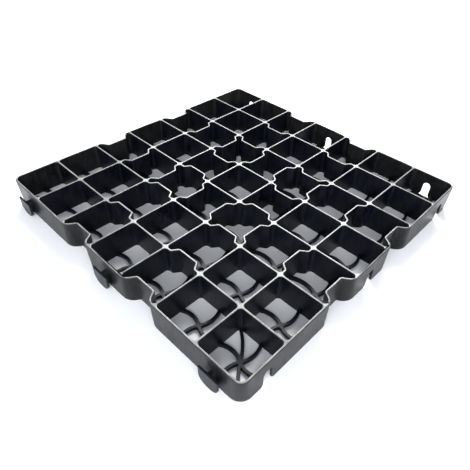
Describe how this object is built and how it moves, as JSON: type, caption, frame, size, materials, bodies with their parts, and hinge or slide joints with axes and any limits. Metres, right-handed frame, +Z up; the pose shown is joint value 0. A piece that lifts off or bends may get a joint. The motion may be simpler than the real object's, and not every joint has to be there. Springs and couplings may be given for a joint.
{
  "type": "interlocking ground grid panel",
  "caption": "Square lattice panel of open cells with stepped walls, a thin strand floor, and side hooks that lock into a neighbour's slots.",
  "frame": {"origin": "underside of the panel at the middle of the centre cell, on the floor strand", "axes": "+X and +Y along the panel's sides, towards the two slotted walls; +Z up, out of the open tops of the cells"},
  "size_m": [0.3358, 0.3358, 0.0285],
  "materials": {
    "outer_wall": "black recycled plastic, soft moulded sheen, faint flow marks",
    "divider": "black recycled plastic, glossy inner faces, worn pale rims",
    "strand": "black recycled plastic, glossy",
    "clip": "black recycled plastic, soft moulded sheen"
  },
  "bodies": {
    "root": {"outer_wall_front": "outer_wall", "outer_wall_right": "outer_wall", "outer_wall_back": "outer_wall", "outer_wall_left": "outer_wall", "divider_x_1": "divider", "divider_x_2": "divider", "divider_x_3": "divider", "divider_x_4": "divider", "divider_x_5": "divider", "divider_x_6": "divider", "divider_y_1": "divider", "divider_y_2": "divider", "divider_y_3": "divider", "divider_y_4": "divider", "divider_y_5": "divider", "divider_y_6": "divider", "strand_x_1": "strand", "strand_x_2": "strand", "strand_x_3": "strand", "strand_x_4": "strand", "strand_x_5": "strand", "strand_x_6": "strand", "strand_x_7": "strand", "strand_y_1": "strand", "strand_y_2": "strand", "strand_y_3": "strand", "strand_y_4": "strand", "strand_y_5": "strand", "strand_y_6": "strand", "strand_y_7": "strand", "brace_front_right_outer": "strand", "brace_front_right_inner": "strand", "brace_back_right_outer": "strand", "brace_back_right_inner": "strand", "brace_back_left_outer": "strand", "brace_back_left_inner": "strand", "brace_front_left_outer": "strand", "brace_front_left_inner": "strand", "keeper_right_1": "clip", "keeper_right_2": "clip", "keeper_right_3": "clip", "keeper_back_1": "clip", "keeper_back_2": "clip", "keeper_back_3": "clip", "hook_front_1": "clip", "hook_front_2": "clip", "hook_front_3": "clip", "hook_left_1": "clip", "hook_left_2": "clip", "hook_left_3": "clip"}
  },
  "joints": []
}
